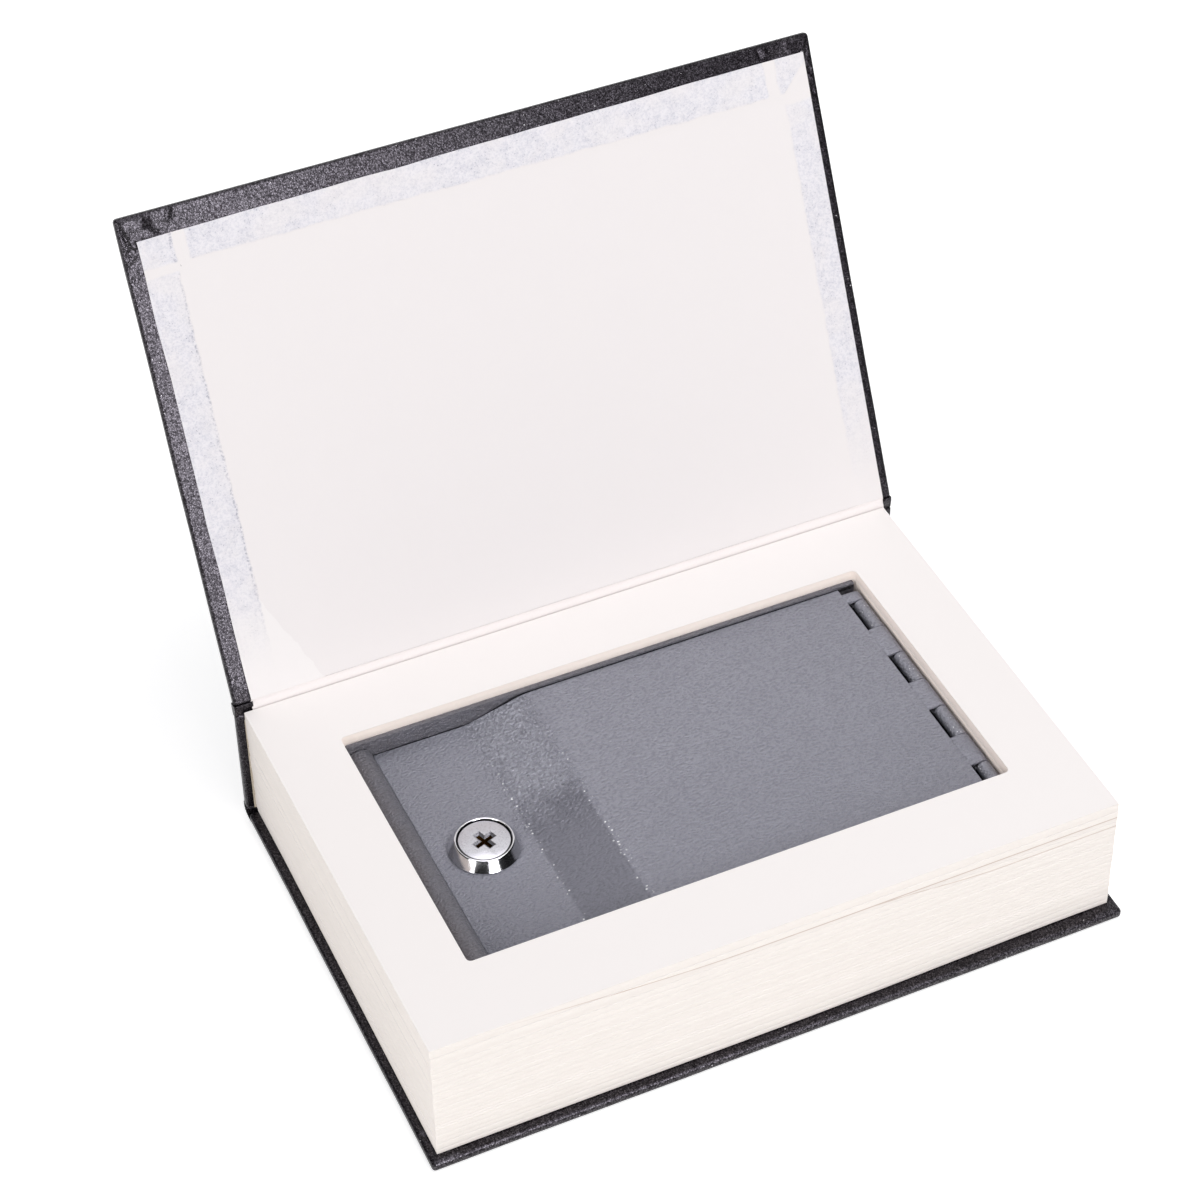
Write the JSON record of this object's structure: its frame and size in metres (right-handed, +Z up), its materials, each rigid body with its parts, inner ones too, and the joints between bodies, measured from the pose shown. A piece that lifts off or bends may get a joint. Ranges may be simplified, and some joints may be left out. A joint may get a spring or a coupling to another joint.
{
  "type": "book diversion safe",
  "caption": "Hardback book of real paper, cut out round a steel box with a hinged, keyed lid; the front cover hides the box when shut.",
  "frame": {"origin": "under the middle of the page block, on the underside of the back cover that the book rests on", "axes": "+Z up out of the page block, +X along the spine towards the steel lid's hinge, +Y from the fore edge to the spine"},
  "size_m": [0.235, 0.2317, 0.1913],
  "materials": {
    "leatherette": "fine-grained black leatherette with a low sheen",
    "board": "grey pasteboard",
    "endpaper": "off-white endpaper with the turned-in borders showing through",
    "pages": "uncoated page edges, cream",
    "lining": "spine lining paper",
    "adhesive": "foam adhesive pad",
    "grey_paint": "grey wrinkle paint with a soft sheen",
    "chrome": "polished chrome plate",
    "plated_steel": "zinc-plated steel",
    "brass": "turned brass"
  },
  "bodies": {
    "root": {"back_cover_board": "board", "back_cover_wrap": "leatherette", "back_endpaper": "endpaper", "back_joint": "leatherette", "spine_board": "board", "spine_wrap": "leatherette", "spine_lining": "lining", "front_joint": "leatherette", "endpaper_hinge": "endpaper", "base_pages": "pages", "cut_pages": "pages", "steel_box": "grey_paint", "box_adhesive": "adhesive"},
    "front_cover": {"front_cover_board": "board", "front_cover_wrap": "leatherette", "front_pastedown": "endpaper"},
    "leaves": {"top_leaves": "pages", "top_flyleaf": "endpaper"},
    "lid": {"box_lid": "grey_paint", "lock_housing": "chrome", "lock_washer": "plated_steel", "lock_nut": "plated_steel", "driver_pin_1": "brass", "driver_pin_2": "brass", "driver_pin_3": "brass", "driver_pin_4": "brass", "pin_spring_1": "plated_steel", "pin_spring_2": "plated_steel", "pin_spring_3": "plated_steel", "pin_spring_4": "plated_steel"},
    "plug": {"lock_plug": "chrome", "lock_cam": "plated_steel", "cam_washer": "plated_steel", "cam_screw": "plated_steel", "key_pin_1": "brass", "key_pin_2": "brass", "key_pin_3": "brass", "key_pin_4": "brass"},
    "pin": {"hinge_pin": "plated_steel"}
  },
  "joints": [
    {"name": "front_cover_hinge", "type": "hinge", "parent": "root", "child": "front_cover", "pos_m": [0, 0.0775, 0.0479], "axis": [-1, 0, 0], "range_deg": [-116.2, 80], "deforming": ["front_joint", "endpaper_hinge"]},
    {"name": "leaves_turn", "type": "hinge", "parent": "root", "child": "leaves", "pos_m": [0, 0.0758, 0.0465], "axis": [-1, 0, 0], "range_deg": [0, 108]},
    {"name": "lid_hinge", "type": "hinge", "parent": "root", "child": "lid", "pos_m": [0.0877, 0.0015, 0.04], "axis": [0, 1, 0], "range_deg": [0, 92]},
    {"name": "plug_turn", "type": "hinge", "parent": "lid", "child": "plug", "pos_m": [-0.065, -0.0013, 0.0369], "axis": [0, 0, -1], "range_deg": [0, 90]},
    {"name": "pin_spin", "type": "hinge", "parent": "root", "child": "pin", "pos_m": [0.0877, 0.0015, 0.04], "axis": [0, 1, 0], "continuous": true}
  ]
}
